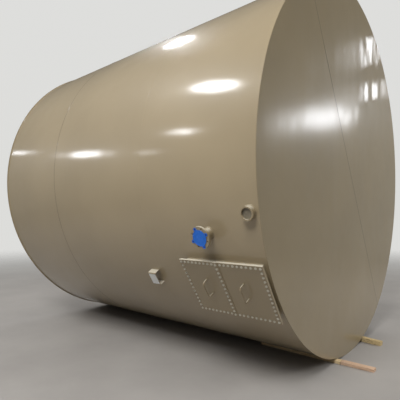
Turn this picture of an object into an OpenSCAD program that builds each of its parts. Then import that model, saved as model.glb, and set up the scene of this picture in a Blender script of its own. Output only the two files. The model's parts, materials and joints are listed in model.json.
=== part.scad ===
// Shop-built steel storage tank with a flat bottom and a low conical roof, laid on its side on timber chocks
// The tank's axis runs along X with the bottom plate towards +X, and the floor is at Z = 0

/* [Shell] */
// Outer radius of the shell
shell_r = 2362.2; // [2100:10:2600]
// Length of the shell between the bottom and the roof
shell_len = 4876.8; // [4400:10:5600]
// Thickness of the shell plates
shell_t = 4.8; // [4:0.2:10]
// Width of the first course, beside the bottom
course_1 = 1524; // [1370:5:1680]
// Width of the middle course
course_2 = 1829; // [1500:5:2000]
// Turn of the first course's upper long seam
seam_turn_1 = 72; // [60:1:90]
// Turn of the middle course's upper long seam
seam_turn_2 = 97; // [60:1:100]
// Turn of the last course's upper long seam
seam_turn_3 = 80; // [60:1:100]

/* [Ends] */
// Thickness of the bottom plates
bottom_t = 6.4; // [5:0.2:12]
// Thickness of the roof plates
roof_t = 4.8; // [4:0.2:10]
// How far the bottom and the roof stand out past the shell
rim_lip = 14; // [12:1:25]
// Rise of the roof's cone at its centre
roof_rise = 198; // [80:2:390]
// Turn of the seam across the bottom
bottom_seam_turn = 124; // [100:1:150]
// Turn of the seam across the roof
roof_seam_turn = 60; // [30:1:150]

/* [Roof fittings] */
// Turn of the hatch on the roof
hatch_turn = 190; // [150:1:230]
// Distance from the roof's rim to the middle of the hatch
hatch_edge = 526; // [300:2:1200]
// Outer diameter of the hatch's neck
hatch_neck_d = 219.1; // [168:0.1:273]
// Thickness of the hatch's neck
hatch_neck_t = 6.4; // [4:0.2:10]
// Height of the hatch flange's back over the roof
hatch_rise = 60; // [40:1:75]
// Outer diameter of the hatch's flange
hatch_flange_d = 342.9; // [320:1:400]
// Thickness of the hatch's flange
hatch_flange_t = 9.5; // [6:0.5:14]
// Bolt circle of the hatch
hatch_pcd = 298.5; // [290:0.5:304]
// Number of bolts in the hatch
hatch_bolts = 16; // [8:4:20]
// Thickness of the hatch's blank cover
hatch_cover_t = 6.4; // [4:0.2:10]
// Turn of the vent coupling on the roof
vent_turn = 10; // [-60:1:50]
// Distance from the tank's axis to the vent coupling
vent_out = 620; // [300:10:900]
// Height of the vent coupling over the roof
vent_rise = 50; // [30:1:80]
// Outer diameter of the vent coupling
vent_d = 132; // [125:1:145]
// Bore of the vent coupling
vent_bore_d = 108; // [90:1:115]

/* [Welds] */
// Width of a butt weld's cap
cap_w = 12; // [6:1:20]
// Height of a butt weld's cap
cap_h = 1.8; // [1:0.1:3]
// Leg of a fillet weld
fillet_leg = 6; // [4:0.5:8]

/* [Cleanout] */
// Turn of the cleanout's centre line
cleanout_turn = 212.5; // [204:0.1:222]
// Distance from the bottom's outer face to the flange's near edge
cleanout_edge_gap = 20; // [0:1:60]
// Bolts along the top and along the bottom of the flange
bolts_long = 20; // [14:1:24]
// Bolts down each end of the flange
bolts_high = 14; // [10:1:16]
// Bolts along the top that belong to the left cover
bolts_left = 10; // [6:1:12]
// Pitch of the bolts along the tank
bolt_pitch_long = 50.8; // [45:0.2:56]
// Pitch of the bolts down the ends
bolt_pitch_high = 50.8; // [44:0.2:56]
// Diameter of the bolt holes
bolt_hole_d = 14.3; // [12:0.1:17]
// Distance from the bolt lines to the edges of the plates
bolt_edge = 25.4; // [20:0.2:32]
// Width of the flange bars outside the neck
flange_overhang = 44; // [40:1:60]
// Width of the middle bar under the lapped covers
middle_bar_w = 76; // [64:1:100]
// Height of the flange's face over the shell
cleanout_rise = 57; // [50:1:90]
// Thickness of the flange bars
cleanout_flange_t = 12.7; // [8:0.1:20]
// Thickness of the cover plates
cover_t = 6.4; // [5:0.1:10]
// Thickness of the neck plates
neck_t = 6.4; // [5:0.1:10]
// Distance from the middle bolts to the right cover's edge, under the lap
lap_edge = 18; // [15:0.5:21]
// Length of the sloping part of the joggle in the left cover
joggle_run = 16; // [12:1:20]
// Gap between the joggle and the right cover's edge
joggle_gap = 2; // [0.5:0.5:4]

/* [Cover handles] */
// Distance between a handle's legs
handle_span = 190; // [150:1:220]
// Height of a handle over its cover
handle_rise = 84; // [60:1:110]
// Diameter of the handle bar
handle_d = 16; // [12:0.1:20]
// Bend radius of the handle bar's centre line
handle_bend = 22; // [16:1:30]
// Handle's distance above the middle of the covers
handle_up = 24; // [-20:1:50]
// How far the left handle stands from its cover's middle towards the lap
left_handle_in = 39; // [0:1:60]
// How far the right handle stands from its cover's middle towards the lap
right_handle_in = 14; // [0:1:60]

/* [Nozzle] */
// Turn of the nozzle
nozzle_turn = 197.6; // [192:0.1:199]
// Distance from the bottom's outer face to the nozzle
nozzle_from_bottom = 612; // [450:1:800]
// Height of the nozzle's face over the shell
nozzle_rise = 150; // [110:1:220]
// Outer diameter of the nozzle neck
nozzle_neck_d = 114.3; // [100:0.1:127]
// Bore of the nozzle
nozzle_bore_d = 102.3; // [84:0.1:106]
// Outer diameter of the nozzle flange
nozzle_flange_d = 228.6; // [215:1:255]
// Thickness of the nozzle flange
nozzle_flange_t = 23.9; // [16:0.1:32]
// Diameter of the raised face
raised_face_d = 157.2; // [145:1:163]
// Height of the raised face
raised_face_h = 1.6; // [1:0.1:3]
// Diameter of the flange's hub
hub_d = 135; // [132:1:150]
// Length of the flange's hub behind the plate
hub_len = 9.4; // [6:0.2:16]
// How far the hub's thin end stands out past the neck
hub_lip = 4; // [2:0.5:6]
// Bolt circle of the nozzle flange
nozzle_pcd = 190.5; // [186:0.5:196]
// Number of bolt holes in the nozzle flange
nozzle_holes = 8; // [8]
// Diameter of the nozzle flange's bolt holes
nozzle_hole_d = 19; // [16:0.5:20]
// Thickness of the plastic cap over the nozzle
nozzle_cap_t = 5; // [3:0.5:8]
// Width of the cap's ears
cap_ear_w = 36; // [32:1:42]

/* [Coupling] */
// Turn of the coupling
coupling_turn = 192.7; // [189:0.1:197]
// Distance from the bottom's outer face to the coupling
coupling_from_bottom = 106; // [90:1:180]
// Height of the coupling's mouth over the shell
coupling_rise = 60; // [40:1:80]
// Outer diameter of the coupling
coupling_d = 132; // [125:1:145]
// Bore of the coupling
coupling_bore_d = 108; // [90:1:115]
// Depth of the plug below the coupling's mouth
plug_depth = 16; // [8:1:24]
// Thickness of the plug
plug_t = 16; // [10:1:24]
// Clearance round the plug
plug_clearance = 0.2; // [0.1:0.05:0.5]

/* [Nameplate bracket] */
// Turn of the bracket
bracket_turn = 212; // [207:0.5:217]
// Gap between the first girth weld and the bracket
bracket_gap = 2; // [1:1:40]
// Length of the bracket along the tank
bracket_len = 124; // [95:1:150]
// Width of the bracket round the shell
bracket_w = 178; // [150:1:200]
// Height of the bracket's face over the shell
bracket_rise = 74; // [50:1:90]
// Thickness of the bracket's plate
bracket_t = 4.8; // [3:0.2:7]
// Outer bend radius of the bracket's plate
bracket_bend = 10; // [8:0.5:16]
// Border of bracket left round the nameplate
nameplate_border = 6; // [3:1:14]
// Thickness of the nameplate
nameplate_t = 1.2; // [0.8:0.1:2]

/* [Timbers] */
// Height of the front timbers, lying flat
timber_h = 38; // [30:1:60]
// Width of the timbers, lying flat
timber_w = 89; // [70:1:120]
// Height of the back timber, which is thicker
back_timber_h = 64; // [38:1:90]
// Gap between the rims and the timbers' upper edges
timber_gap = 0.2; // [0.1:0.1:1]
// Length of the front timber
front_timber_len = 1133; // [700:1:1400]
// How far the front timber runs out past the bottom
front_timber_out = 62; // [20:1:140]
// Turn of the front timber away from the tank's axis
front_timber_skew = 1.5; // [0:0.5:4]
// Length of the offcut beyond the front timber
offcut_len = 391; // [250:1:600]
// Gap between the front timber and the offcut
offcut_gap = 0.3; // [0.1:0.1:30]
// How far the offcut lies back behind the front timber's face
offcut_back = 4; // [0:1:12]
// Length of the back timber
back_timber_len = 830; // [500:1:1400]
// How far the back timber runs out past the bottom
back_timber_out = 255; // [150:1:400]
// Turn of the back timber away from the tank's axis
back_timber_skew = 8; // [0:0.5:12]

/* [Hidden] */
$fn = 96;

// A cut runs this far past the surface it opens
overcut = 5;
// Half a turn, which one of a course's two plates covers
half_turn = 180;

// Places along the tank, counted from the bottom's outer face and negative towards the roof
shell_start = -bottom_t;
girth_1 = shell_start - course_1;
girth_2 = girth_1 - course_2;
shell_end = shell_start - shell_len;
course_3 = shell_len - course_1 - course_2;

// The rims of the bottom and the roof, which stand on the floor
rim_r = shell_r + rim_lip;
roof_slope = roof_rise / rim_r;
roof_rim_x = shell_end + rim_lip * roof_slope;
roof_top_x = roof_rim_x - roof_rise - roof_t;
hatch_out = rim_r - hatch_edge;

// The cleanout's flange, from its bolt pattern
cleanout_len = (bolts_long - 1) * bolt_pitch_long + 2 * bolt_edge;
cleanout_high = (bolts_high - 1) * bolt_pitch_high + 2 * bolt_edge;
cleanout_x1 = -cleanout_edge_gap;
cleanout_x0 = cleanout_x1 - cleanout_len;
middle_x = cleanout_x0 + bolt_edge + (bolts_left - 1) * bolt_pitch_long;
neck_x0 = cleanout_x0 + flange_overhang;
neck_x1 = cleanout_x1 - flange_overhang;
neck_half = cleanout_high / 2 - flange_overhang;
flange_back = cleanout_rise - cleanout_flange_t;
cover_face = cleanout_rise + cover_t;
left_handle_x = (cleanout_x0 + middle_x) / 2 + left_handle_in;
right_handle_x = (middle_x + cleanout_x1) / 2 - right_handle_in;

// The bracket stands just past the first girth weld
bracket_x1 = girth_1 - cap_w / 2 - bracket_gap;
bracket_x0 = bracket_x1 - bracket_len;

// A timber's inner upper edge meets the rims where they are as high as the timber
timber_touch = sqrt(pow(rim_r, 2) - pow(rim_r - timber_h, 2));
timber_y = timber_touch + timber_gap;
back_timber_touch = sqrt(pow(rim_r, 2) - pow(rim_r - back_timber_h, 2));
back_timber_y = back_timber_touch + timber_gap;
offcut_x0 = front_timber_out + offcut_gap;
offcut_x1 = offcut_x0 + offcut_len;

// The object's reach, which puts the origin under its middle
reach_x1 = max(offcut_x1, back_timber_out);
nozzle_tilt = nozzle_turn - half_turn;
nozzle_top_r = shell_r + nozzle_rise + nozzle_cap_t;
reach_y0 = -(nozzle_top_r * cos(nozzle_tilt) + nozzle_flange_d / 2 * sin(nozzle_tilt));
middle_of_x = (reach_x1 + roof_top_x) / 2;
middle_of_y = (rim_r + reach_y0) / 2;

// Stands the tank on the floor, with the origin under the middle of the whole object
module stand() {
    translate([-middle_of_x, -middle_of_y, rim_r])
        children();
}

// Turns a shape that is drawn round Z so that it goes round the tank's axis, starting at a turn
module round_axis(turn) {
    rotate([0, 90, 0])
        rotate([0, 0, turn + 90])
            children();
}

// Sets a shape on the outside of the shell, with its Z pointing out and its X along the tank
module on_shell(x, turn) {
    translate([x, 0, 0])
        rotate([turn - 90, 0, 0])
            translate([0, 0, shell_r])
                children();
}

// The space inside the shell's outer surface, as seen from a place on the shell
module shell_space() {
    translate([0, 0, -shell_r])
        rotate([0, 90, 0])
            cylinder(r = shell_r, h = 2 * shell_len, center = true, $fn = 256);
}

// Sets a shape on the roof's outer face, with its Z pointing away from the tank along its axis
module on_roof(out, turn) {
    translate([roof_rim_x - roof_t - (rim_r - out) * roof_slope, 0, 0])
        rotate([turn, 0, 0])
            translate([0, out, 0])
                rotate([0, -90, 0])
                    children();
}

// The space under the roof's outer face
module roof_space() {
    translate([roof_rim_x, 0, 0])
        round_axis(0)
            rotate_extrude($fn = 256)
                polygon([
                    [0, 0],
                    [rim_r, 0],
                    [rim_r, -roof_t],
                    [0, -roof_rise - roof_t]
                ]);
}

// Half of one course, rolled to the shell's radius
module course_plate(x0, len, turn) {
    translate([x0 - len, 0, 0])
        round_axis(turn)
            rotate_extrude(angle = half_turn, $fn = 256)
                translate([shell_r - shell_t, 0])
                    square([shell_t, len]);
}

// The openings through the first course for the cleanout, the nozzle and the coupling
module shell_openings() {
    on_shell(0, cleanout_turn)
        translate([neck_x0 + neck_t, -neck_half + neck_t, -cleanout_rise])
            cube([neck_x1 - neck_x0 - 2 * neck_t, 2 * (neck_half - neck_t), 2 * cleanout_rise]);
    on_shell(-nozzle_from_bottom, nozzle_turn)
        cylinder(d = nozzle_bore_d, h = 2 * (shell_t + overcut), center = true);
    on_shell(-coupling_from_bottom, coupling_turn)
        cylinder(d = coupling_bore_d, h = 2 * (shell_t + overcut), center = true);
}

module course_1_front_plate() {
    color("#96896f")
        stand()
            difference() {
                course_plate(shell_start, course_1, seam_turn_1);
                shell_openings();
            }
}

module course_1_back_plate() {
    color("#96896f")
        stand()
            course_plate(shell_start, course_1, seam_turn_1 + half_turn);
}

module course_2_front_plate() {
    color("#96896f")
        stand()
            course_plate(girth_1, course_2, seam_turn_2);
}

module course_2_back_plate() {
    color("#96896f")
        stand()
            course_plate(girth_1, course_2, seam_turn_2 + half_turn);
}

module course_3_front_plate() {
    color("#96896f")
        stand()
            course_plate(girth_2, course_3, seam_turn_3);
}

module course_3_back_plate() {
    color("#96896f")
        stand()
            course_plate(girth_2, course_3, seam_turn_3 + half_turn);
}

// Low rounded section of a butt weld's cap, across the seam in Y and out of the plate in X
module cap_section() {
    polygon([
        [0, -cap_w / 2],
        [cap_h * 0.7, -cap_w / 3],
        [cap_h, 0],
        [cap_h * 0.7, cap_w / 3],
        [0, cap_w / 2]
    ]);
}

// Weld cap all the way round the shell
module girth_weld(x) {
    translate([x, 0, 0])
        round_axis(0)
            rotate_extrude($fn = 256)
                translate([shell_r, 0])
                    cap_section();
}

module girth_weld_1() {
    color("#8b7f66")
        stand()
            girth_weld(girth_1);
}

module girth_weld_2() {
    color("#8b7f66")
        stand()
            girth_weld(girth_2);
}

// Weld caps along the two long seams of one course, ending beside the round welds
module long_seam_pair(x0, len, turn) {
    for (side = [0, half_turn])
        on_shell(x0 - len + cap_w, turn + side)
            difference() {
                rotate([0, 90, 0])
                    rotate([0, 0, half_turn])
                        linear_extrude(height = len - 2 * cap_w)
                            cap_section();
                shell_space();
            }
}

module long_seam_welds() {
    color("#8b7f66")
        stand() {
            long_seam_pair(shell_start, course_1, seam_turn_1);
            long_seam_pair(girth_1, course_2, seam_turn_2);
            long_seam_pair(girth_2, course_3, seam_turn_3);
        }
}

// Half of the flat bottom, on one side of the seam across it
module bottom_half(turn) {
    translate([-bottom_t, 0, 0])
        round_axis(turn)
            rotate_extrude(angle = half_turn, $fn = 256)
                square([rim_r, bottom_t]);
}

module bottom_upper_plate() {
    color("#8a7f68")
        stand()
            bottom_half(bottom_seam_turn + half_turn);
}

module bottom_lower_plate() {
    color("#8a7f68")
        stand()
            bottom_half(bottom_seam_turn);
}

module bottom_seam_weld() {
    color("#998e78")
        stand()
            rotate([bottom_seam_turn, 0, 0])
                translate([0, cap_w - rim_r, 0])
                    rotate([-90, 0, 0])
                        linear_extrude(height = 2 * (rim_r - cap_w))
                            cap_section();
}

// Fillet weld in the corner between the shell and a rim that stands out past it
module rim_fillet(x, away) {
    translate([x, 0, 0])
        round_axis(0)
            rotate_extrude($fn = 256)
                polygon([
                    [shell_r, 0],
                    [shell_r + fillet_leg, 0],
                    [shell_r, away * fillet_leg]
                ]);
}

module bottom_rim_weld() {
    color("#a59a84")
        stand()
            rim_fillet(shell_start, -1);
}

// Half of the conical roof, whose underside meets the shell's outer edge
module roof_half(turn) {
    translate([roof_rim_x, 0, 0])
        round_axis(turn)
            rotate_extrude(angle = half_turn, $fn = 256)
                polygon([
                    [rim_r, 0],
                    [rim_r, -roof_t],
                    [0, -roof_rise - roof_t],
                    [0, -roof_rise]
                ]);
}

module roof_upper_plate() {
    color("#96896f")
        stand()
            difference() {
                roof_half(roof_seam_turn + half_turn);
                on_roof(vent_out, vent_turn)
                    cylinder(d = vent_bore_d, h = 2 * vent_rise, center = true);
            }
}

module roof_lower_plate() {
    color("#96896f")
        stand()
            difference() {
                roof_half(roof_seam_turn);
                on_roof(hatch_out, hatch_turn)
                    cylinder(d = hatch_neck_d - 2 * hatch_neck_t, h = 2 * hatch_rise, center = true);
            }
}

// Weld cap from the rim to the peak and down again, on the roof's outer face
module roof_seam_weld() {
    slope_angle = atan(roof_slope);
    slope_len = sqrt(pow(rim_r, 2) + pow(roof_rise, 2));
    color("#8b7f66")
        stand()
            for (side = [0, half_turn])
                translate([roof_top_x, 0, 0])
                    rotate([roof_seam_turn + side, 0, 0])
                        rotate([0, 0, -slope_angle])
                            translate([0, cap_w / 2, 0])
                                rotate([-90, 0, 0])
                                    mirror([1, 0, 0])
                                        linear_extrude(height = slope_len - cap_w * 1.5)
                                            cap_section();
}

module roof_rim_weld() {
    color("#8b7f66")
        stand()
            translate([shell_end, 0, 0])
                round_axis(0)
                    rotate_extrude($fn = 256)
                        polygon([
                            [shell_r, 0],
                            [shell_r + fillet_leg, fillet_leg * roof_slope],
                            [shell_r, fillet_leg]
                        ]);
}

// Upright pipe on the roof, cut to sit on its cone
module roof_pipe(out, turn, outer_d, bore_d, rise) {
    difference() {
        on_roof(out, turn)
            difference() {
                translate([0, 0, -outer_d * roof_slope])
                    cylinder(d = outer_d, h = rise + outer_d * roof_slope);
                cylinder(d = bore_d, h = 4 * rise, center = true);
            }
        roof_space();
    }
}

// Ring of bolt holes round the hatch
module hatch_holes() {
    for (i = [0 : hatch_bolts - 1])
        rotate([0, 0, (i + 0.5) * 360 / hatch_bolts])
            translate([hatch_pcd / 2, 0, -overcut])
                cylinder(d = bolt_hole_d, h = hatch_flange_t + hatch_cover_t + 2 * overcut, $fn = 24);
}

module roof_hatch_neck() {
    color("#8f836a")
        stand()
            roof_pipe(hatch_out, hatch_turn, hatch_neck_d, hatch_neck_d - 2 * hatch_neck_t, hatch_rise);
}

module roof_hatch_flange() {
    color("#8f836a")
        stand()
            on_roof(hatch_out, hatch_turn)
                translate([0, 0, hatch_rise])
                    difference() {
                        cylinder(d = hatch_flange_d, h = hatch_flange_t);
                        translate([0, 0, -overcut])
                            cylinder(d = hatch_neck_d - 2 * hatch_neck_t, h = hatch_flange_t + 2 * overcut);
                        hatch_holes();
                    }
}

module roof_hatch_cover() {
    color("#6e634c")
        stand()
            on_roof(hatch_out, hatch_turn)
                translate([0, 0, hatch_rise + hatch_flange_t])
                    difference() {
                        cylinder(d = hatch_flange_d, h = hatch_cover_t);
                        hatch_holes();
                    }
}

module roof_vent_coupling() {
    color("#8f836a")
        stand()
            roof_pipe(vent_out, vent_turn, vent_d, vent_bore_d, vent_rise);
}

// One plate of the cleanout's neck, cut to sit on the shell
module neck_plate(x0, y0, len, high) {
    difference() {
        translate([x0, y0, -shell_r / 10])
            cube([len, high, shell_r / 10 + flange_back]);
        shell_space();
    }
}

module cleanout_neck_top() {
    color("#8f836a")
        stand()
            on_shell(0, cleanout_turn)
                neck_plate(neck_x0, neck_half - neck_t, neck_x1 - neck_x0, neck_t);
}

module cleanout_neck_bottom() {
    color("#8f836a")
        stand()
            on_shell(0, cleanout_turn)
                neck_plate(neck_x0, -neck_half, neck_x1 - neck_x0, neck_t);
}

module cleanout_neck_left() {
    color("#8f836a")
        stand()
            on_shell(0, cleanout_turn)
                neck_plate(neck_x0, -neck_half + neck_t, neck_t, 2 * (neck_half - neck_t));
}

module cleanout_neck_right() {
    color("#8f836a")
        stand()
            on_shell(0, cleanout_turn)
                neck_plate(neck_x1 - neck_t, -neck_half + neck_t, neck_t, 2 * (neck_half - neck_t));
}

// One row of holes through the plates of the cleanout, along the tank
module bolt_row(first, last, y) {
    for (i = [first : last])
        translate([cleanout_x0 + bolt_edge + i * bolt_pitch_long, y, flange_back - overcut])
            cylinder(d = bolt_hole_d, h = cleanout_flange_t + 2 * cover_t + 2 * overcut, $fn = 24);
}

// One column of holes between the top row and the bottom row
module bolt_column(x) {
    for (j = [1 : bolts_high - 2])
        translate([x, (j - (bolts_high - 1) / 2) * bolt_pitch_high, flange_back - overcut])
            cylinder(d = bolt_hole_d, h = cleanout_flange_t + 2 * cover_t + 2 * overcut, $fn = 24);
}

// All the holes between two columns, with the columns that stand at x
module bolt_holes(first, last, columns) {
    for (side = [-1, 1])
        bolt_row(first, last, side * (cleanout_high / 2 - bolt_edge));
    for (x = columns)
        bolt_column(x);
}

// One of the two windows through the flange
module flange_window(x0, x1) {
    translate([x0, -neck_half + neck_t, flange_back - overcut])
        cube([x1 - x0, 2 * (neck_half - neck_t), cleanout_flange_t + 2 * overcut]);
}

module cleanout_flange() {
    left = cleanout_x0 + bolt_edge;
    right = cleanout_x1 - bolt_edge;
    color("#8f836a")
        stand()
            on_shell(0, cleanout_turn)
                difference() {
                    translate([cleanout_x0, -cleanout_high / 2, flange_back])
                        cube([cleanout_len, cleanout_high, cleanout_flange_t]);
                    flange_window(neck_x0 + neck_t, middle_x - middle_bar_w / 2);
                    flange_window(middle_x + middle_bar_w / 2, neck_x1 - neck_t);
                    bolt_holes(0, bolts_long - 1, [left, middle_x, right]);
                }
}

// The left cover steps up over the edge of the right one at the shared column of bolts
module cleanout_cover_left() {
    step_x = middle_x - lap_edge - joggle_gap;
    color("#6e634c")
        stand()
            on_shell(0, cleanout_turn)
                difference() {
                    translate([0, cleanout_high / 2, cleanout_rise])
                        rotate([90, 0, 0])
                            linear_extrude(height = cleanout_high)
                                polygon([
                                    [cleanout_x0, 0],
                                    [step_x - joggle_run, 0],
                                    [step_x, cover_t],
                                    [middle_x + bolt_edge, cover_t],
                                    [middle_x + bolt_edge, 2 * cover_t],
                                    [step_x, 2 * cover_t],
                                    [step_x - joggle_run, cover_t],
                                    [cleanout_x0, cover_t]
                                ]);
                    bolt_holes(0, bolts_left - 1, [cleanout_x0 + bolt_edge, middle_x]);
                }
}

module cleanout_cover_right() {
    color("#6e634c")
        stand()
            on_shell(0, cleanout_turn)
                difference() {
                    translate([middle_x - lap_edge, -cleanout_high / 2, cleanout_rise])
                        cube([cleanout_x1 - middle_x + lap_edge, cleanout_high, cover_t]);
                    bolt_holes(bolts_left - 1, bolts_long - 1, [middle_x, cleanout_x1 - bolt_edge]);
                }
}

// Round bar bent into a U, with its feet on the cover
module handle(x) {
    reach = handle_rise - handle_d / 2;
    translate([x, handle_up, cover_face])
        for (side = [-1, 1]) {
            translate([0, side * handle_span / 2, 0])
                cylinder(d = handle_d, h = reach - handle_bend, $fn = 32);
            translate([0, side * (handle_span / 2 - handle_bend), reach - handle_bend])
                rotate([0, -90, 0])
                    rotate([0, 0, side > 0 ? 0 : -90])
                        rotate_extrude(angle = 90, $fn = 48)
                            translate([handle_bend, 0])
                                circle(d = handle_d, $fn = 32);
            translate([0, 0, reach])
                rotate([-side * 90, 0, 0])
                    cylinder(d = handle_d, h = handle_span / 2 - handle_bend, $fn = 32);
        }
}

module cleanout_handle_left() {
    color("#8f836a")
        stand()
            on_shell(0, cleanout_turn)
                handle(left_handle_x);
}

module cleanout_handle_right() {
    color("#8f836a")
        stand()
            on_shell(0, cleanout_turn)
                handle(right_handle_x);
}

// Pipe from the shell to the back of the flange's hub
module nozzle_neck() {
    color("#8f836a")
        stand()
            on_shell(-nozzle_from_bottom, nozzle_turn)
                difference() {
                    translate([0, 0, -overcut])
                        cylinder(d = nozzle_neck_d, h = nozzle_rise - nozzle_flange_t - hub_len + overcut);
                    translate([0, 0, -2 * overcut])
                        cylinder(d = nozzle_bore_d, h = nozzle_rise + 2 * overcut);
                    shell_space();
                }
}

// Flange with a hub behind it and a raised face, and holes that straddle its centre lines
module nozzle_flange() {
    color("#8f836a")
        stand()
            on_shell(-nozzle_from_bottom, nozzle_turn)
                difference() {
                    rotate_extrude()
                        polygon([
                            [nozzle_bore_d / 2, nozzle_rise - nozzle_flange_t - hub_len],
                            [nozzle_neck_d / 2 + hub_lip, nozzle_rise - nozzle_flange_t - hub_len],
                            [hub_d / 2, nozzle_rise - nozzle_flange_t],
                            [nozzle_flange_d / 2, nozzle_rise - nozzle_flange_t],
                            [nozzle_flange_d / 2, nozzle_rise - raised_face_h],
                            [raised_face_d / 2, nozzle_rise - raised_face_h],
                            [raised_face_d / 2, nozzle_rise],
                            [nozzle_bore_d / 2, nozzle_rise]
                        ]);
                    for (i = [0 : nozzle_holes - 1])
                        rotate([0, 0, (i + 0.5) * 360 / nozzle_holes])
                            translate([nozzle_pcd / 2, 0, nozzle_rise - nozzle_flange_t - overcut])
                                cylinder(d = nozzle_hole_d, h = nozzle_flange_t + 2 * overcut, $fn = 32);
                }
}

// Moulded cap on the raised face, with four ears over every second bolt hole
module nozzle_cap() {
    color("#1f66c8")
        stand()
            on_shell(-nozzle_from_bottom, nozzle_turn)
                translate([0, 0, nozzle_rise])
                    difference() {
                        linear_extrude(height = nozzle_cap_t) {
                            circle(d = raised_face_d);
                            for (i = [0 : 2 : nozzle_holes - 1])
                                rotate([0, 0, (i + 0.5) * 360 / nozzle_holes]) {
                                    translate([0, -cap_ear_w / 2])
                                        square([nozzle_pcd / 2, cap_ear_w]);
                                    translate([nozzle_pcd / 2, 0])
                                        circle(d = cap_ear_w);
                                }
                        }
                        for (i = [0 : 2 : nozzle_holes - 1])
                            rotate([0, 0, (i + 0.5) * 360 / nozzle_holes])
                                translate([nozzle_pcd / 2, 0, -overcut])
                                    cylinder(d = nozzle_hole_d, h = nozzle_cap_t + 2 * overcut, $fn = 32);
                    }
}

// Pipe coupling set on the shell
module coupling() {
    color("#8f836a")
        stand()
            on_shell(-coupling_from_bottom, coupling_turn)
                difference() {
                    translate([0, 0, -overcut])
                        cylinder(d = coupling_d, h = coupling_rise + overcut);
                    translate([0, 0, -2 * overcut])
                        cylinder(d = coupling_bore_d, h = coupling_rise + 4 * overcut);
                    shell_space();
                }
}

module coupling_plug() {
    color("#a08e6c")
        stand()
            on_shell(-coupling_from_bottom, coupling_turn)
                translate([0, 0, coupling_rise - plug_depth - plug_t])
                    cylinder(d = coupling_bore_d - 2 * plug_clearance, h = plug_t);
}

// Rectangle whose two upper corners are rounded
module round_top(w, h, r) {
    translate([-w / 2, 0])
        square([w, h - r]);
    translate([-w / 2 + r, h - 2 * r])
        square([w - 2 * r, 2 * r]);
    for (side = [-1, 1])
        translate([side * (w / 2 - r), h - r])
            circle(r = r, $fn = 48);
}

// Plate bent into a U, open at both ends, with its legs cut to the shell
module nameplate_bracket() {
    root = bracket_w / 8;
    color("#8f836a")
        stand()
            on_shell(0, bracket_turn)
                difference() {
                    translate([bracket_x0, 0, -root])
                        rotate([90, 0, 90])
                            linear_extrude(height = bracket_len)
                                difference() {
                                    round_top(bracket_w, bracket_rise + root, bracket_bend);
                                    translate([0, -overcut])
                                        round_top(
                                            bracket_w - 2 * bracket_t,
                                            bracket_rise + root - bracket_t + overcut,
                                            bracket_bend - bracket_t
                                        );
                                }
                    shell_space();
                }
}

module nameplate() {
    plate_w = bracket_w - 2 * (bracket_bend + nameplate_border);
    plate_len = bracket_len - 2 * nameplate_border;
    color("#d8d6cf")
        stand()
            on_shell(0, bracket_turn)
                translate([bracket_x0 + nameplate_border, -plate_w / 2, bracket_rise])
                    cube([plate_len, plate_w, nameplate_t]);
}

// Board lying on the floor from x0 to x1, with its lower edge in Y at y0
module timber(x0, x1, y0, high) {
    translate([x0, y0, -rim_r])
        cube([x1 - x0, timber_w, high]);
}

// Turns a board about the place where the rim meets its inner edge
module turned_timber(x, y, skew) {
    translate([x, y, 0])
        rotate([0, 0, -skew])
            translate([-x, -y, 0])
                children();
}

module front_timber() {
    color("#c3a878")
        stand()
            turned_timber(-bottom_t, -timber_y, front_timber_skew)
                timber(front_timber_out - front_timber_len, front_timber_out, -timber_y - timber_w, timber_h);
}

module front_offcut() {
    color("#c9a184")
        stand()
            timber(offcut_x0, offcut_x1, offcut_back - timber_y - timber_w, timber_h);
}

module back_timber() {
    color("#8c7350")
        stand()
            turned_timber(0, back_timber_y, back_timber_skew)
                timber(back_timber_out - back_timber_len, back_timber_out, back_timber_y, back_timber_h);
}

course_1_front_plate();
course_1_back_plate();
course_2_front_plate();
course_2_back_plate();
course_3_front_plate();
course_3_back_plate();
girth_weld_1();
girth_weld_2();
long_seam_welds();
bottom_upper_plate();
bottom_lower_plate();
bottom_seam_weld();
bottom_rim_weld();
roof_upper_plate();
roof_lower_plate();
roof_seam_weld();
roof_rim_weld();
roof_hatch_neck();
roof_hatch_flange();
roof_hatch_cover();
roof_vent_coupling();
cleanout_neck_top();
cleanout_neck_bottom();
cleanout_neck_left();
cleanout_neck_right();
cleanout_flange();
cleanout_cover_left();
cleanout_cover_right();
cleanout_handle_left();
cleanout_handle_right();
nozzle_neck();
nozzle_flange();
nozzle_cap();
coupling();
coupling_plug();
nameplate_bracket();
nameplate();
front_timber();
front_offcut();
back_timber();
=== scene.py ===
# %% [markdown]
# # A steel storage tank on its side
# The object is a storage tank, 15 feet 6 inches across and 16 feet long, lying on its side on timbers.
# Its exact solids were drawn in OpenSCAD, and they come in here as the frame.
# Solids alone look bare, so this script adds what they leave out: paint, bolts, weld beads,
# the marks of the saw on the boards, and light. It never moves or reshapes the solids.
# Lengths are in metres, +X runs along the tank towards its flat bottom and +Z is up.

# %% Load the frame
import json
import math
import random

import bpy
from mathutils import Matrix, Vector, noise


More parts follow.
